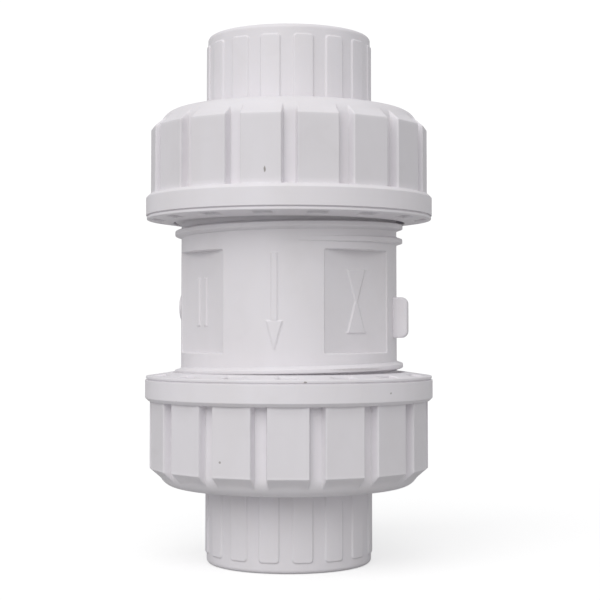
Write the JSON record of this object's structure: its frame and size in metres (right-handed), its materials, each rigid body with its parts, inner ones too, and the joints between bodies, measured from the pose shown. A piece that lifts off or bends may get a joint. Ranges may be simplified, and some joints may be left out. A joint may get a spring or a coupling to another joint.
{
  "type": "check valve",
  "caption": "White plastic double-union spring check valve: ribbed union nuts, flanged solvent sockets and a moulded body with a flow arrow, around a spring-loaded poppet.",
  "frame": {"origin": "centre of the valve body on the pipe axis", "axes": "+Z along the pipe axis toward the inlet union, -Y toward the side with the flow arrow"},
  "size_m": [0.0712, 0.0712, 0.13],
  "materials": {
    "body_plastic": "satin moulded uPVC, slightly warm white",
    "nut_plastic": "satin moulded uPVC, cool white",
    "socket_plastic": "satin moulded uPVC, cool white",
    "inner_plastic": "satin moulded uPVC",
    "seal_rubber": "smooth EPDM",
    "stainless": "turned stainless steel",
    "spring_steel": "drawn stainless wire",
    "bush_plastic": "waxy PTFE"
  },
  "bodies": {
    "valve": {"valve_body": "body_plastic", "seat_carrier": "inner_plastic", "carrier_o_ring": "seal_rubber", "stem_guide": "inner_plastic", "guide_bush": "bush_plastic", "guide_circlip": "stainless", "spring_seat_washer": "stainless", "closing_spring": "spring_steel"},
    "poppet": {"guide_stem": "stainless", "poppet_disc": "inner_plastic", "disc_seal": "seal_rubber", "seal_washer": "stainless", "stem_lock_washer": "stainless", "stem_lock_nut": "stainless"},
    "inlet_connector": {"upper_end_connector": "socket_plastic", "upper_face_o_ring": "seal_rubber"},
    "inlet_nut": {"upper_union_nut": "nut_plastic"},
    "outlet_connector": {"lower_end_connector": "socket_plastic", "lower_face_o_ring": "seal_rubber"},
    "outlet_nut": {"lower_union_nut": "nut_plastic"}
  },
  "joints": [
    {"name": "poppet_travel", "type": "slide", "parent": "valve", "child": "poppet", "axis": [0, 0, -1], "range_m": [0, 0.009], "stiffness_N_per_m": 150, "springref_m": -0.008, "deforming": ["closing_spring"]},
    {"name": "inlet_union_lift", "type": "slide", "parent": "valve", "child": "inlet_connector", "axis": [0, 0, 1], "range_m": [0, 0.01405]},
    {"name": "inlet_nut_turn", "type": "hinge", "parent": "inlet_connector", "child": "inlet_nut", "pos_m": [0, 0, 0.0411], "axis": [0, 0, 1], "range_deg": [0, 1440]},
    {"name": "outlet_union_drop", "type": "slide", "parent": "valve", "child": "outlet_connector", "axis": [0, 0, -1], "range_m": [0, 0.01405]},
    {"name": "outlet_nut_turn", "type": "hinge", "parent": "outlet_connector", "child": "outlet_nut", "pos_m": [0, 0, -0.0411], "axis": [0, 0, -1], "range_deg": [0, 1440]}
  ],
  "couplings": [
    {"joint": "inlet_union_lift", "follows": "inlet_nut_turn", "m_per_rad": 0.00055704},
    {"joint": "outlet_union_drop", "follows": "outlet_nut_turn", "m_per_rad": 0.00055704}
  ]
}
